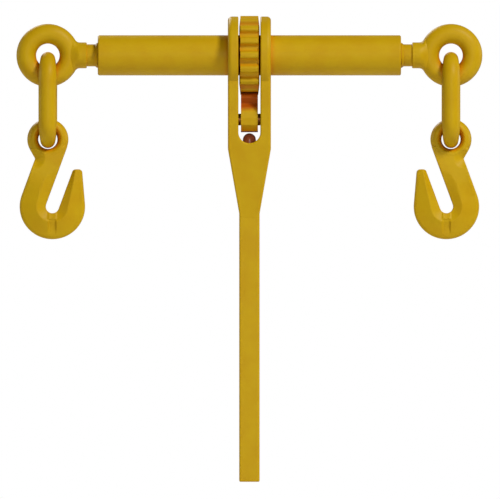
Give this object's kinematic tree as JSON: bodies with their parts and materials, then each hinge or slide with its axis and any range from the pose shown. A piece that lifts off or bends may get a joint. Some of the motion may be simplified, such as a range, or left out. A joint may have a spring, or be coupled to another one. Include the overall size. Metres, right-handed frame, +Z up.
{
  "type": "ratchet load binder",
  "caption": "Ratchet load binder: a barrel with a ratchet handle drives two eye screws in or out, each carrying a link and a grab hook for chain.",
  "frame": {"origin": "middle of the barrel, on its axis", "axes": "+X along the barrel to the right-hand end, +Z up away from the handle's grip, -Y to the front"},
  "size_m": [0.3906, 0.066, 0.3903],
  "materials": {
    "barrel_paint": "semi-gloss golden yellow paint",
    "gear_paint": "semi-gloss golden yellow paint, darker in the tooth roots",
    "handle_paint": "semi-gloss golden yellow paint over a forging",
    "forged_paint": "semi-gloss golden yellow paint, worn thin on the thread",
    "link_paint": "semi-gloss golden yellow paint",
    "hook_paint": "semi-gloss golden yellow paint over a forging",
    "pin_steel": "oiled steel",
    "plunger_steel": "dark, polished hardened steel",
    "spring_steel": "oil-blackened spring steel",
    "nut_steel": "greased machined steel"
  },
  "bodies": {
    "barrel": {"barrel_tube": "barrel_paint", "left_nut": "nut_steel", "right_nut": "nut_steel", "ratchet_gear": "gear_paint", "gear_drive_pins": "pin_steel"},
    "handle": {"handle": "handle_paint", "pawl_pin": "gear_paint", "plunger_spring": "spring_steel"},
    "pawl": {"pawl": "gear_paint"},
    "plunger": {"detent_plunger": "plunger_steel"},
    "left_stop": {"left_stop_ring": "pin_steel"},
    "left_screw": {"left_eye_screw": "forged_paint", "left_circlip": "spring_steel"},
    "left_link": {"left_link": "link_paint"},
    "left_hook": {"left_hook": "hook_paint"},
    "right_stop": {"right_stop_ring": "pin_steel"},
    "right_screw": {"right_eye_screw": "forged_paint", "right_circlip": "spring_steel"},
    "right_link": {"right_link": "link_paint"},
    "right_hook": {"right_hook": "hook_paint"}
  },
  "joints": [
    {"name": "handle_swing", "type": "hinge", "parent": "barrel", "child": "handle", "pos_m": [0, 0, 0], "axis": [1, 0, 0], "continuous": true},
    {"name": "pawl_toggle", "type": "hinge", "parent": "handle", "child": "pawl", "pos_m": [0, 0, -0.0538], "axis": [1, 0, 0], "range_deg": [-16, 16]},
    {"name": "plunger_slide", "type": "slide", "parent": "handle", "child": "plunger", "axis": [0, 0, 1], "range_m": [-0.003, 0], "stiffness_N_per_m": 2000, "springref_m": 0.004, "deforming": ["plunger_spring"]},
    {"name": "left_stop_slide", "type": "slide", "parent": "barrel", "child": "left_stop", "axis": [-1, 0, 0], "range_m": [0, 0.0905]},
    {"name": "left_screw_turn", "type": "hinge", "parent": "left_stop", "child": "left_screw", "pos_m": [0, 0, 0], "axis": [1, 0, 0], "range_deg": [0, 6480]},
    {"name": "left_link_swing", "type": "hinge", "parent": "left_screw", "child": "left_link", "pos_m": [-0.1689, 0, 0], "axis": [0, 1, 0], "range_deg": [-30, 110]},
    {"name": "left_hook_swing", "type": "hinge", "parent": "left_link", "child": "left_hook", "pos_m": [-0.1689, 0, -0.0715], "axis": [0, 1, 0], "range_deg": [-45, 75]},
    {"name": "right_stop_slide", "type": "slide", "parent": "barrel", "child": "right_stop", "axis": [1, 0, 0], "range_m": [0, 0.0905]},
    {"name": "right_screw_turn", "type": "hinge", "parent": "right_stop", "child": "right_screw", "pos_m": [0, 0, 0], "axis": [1, 0, 0], "range_deg": [0, 6480]},
    {"name": "right_link_swing", "type": "hinge", "parent": "right_screw", "child": "right_link", "pos_m": [0.1689, 0, 0], "axis": [0, -1, 0], "range_deg": [-30, 110]},
    {"name": "right_hook_swing", "type": "hinge", "parent": "right_link", "child": "right_hook", "pos_m": [0.1689, 0, -0.0715], "axis": [0, -1, 0], "range_deg": [-45, 75]}
  ],
  "couplings": [
    {"joint": "left_stop_slide", "follows": "left_screw_turn", "m_per_rad": 0.00079577},
    {"joint": "right_screw_turn", "follows": "left_screw_turn", "ratio": 1},
    {"joint": "right_stop_slide", "follows": "left_screw_turn", "m_per_rad": 0.00079577}
  ]
}
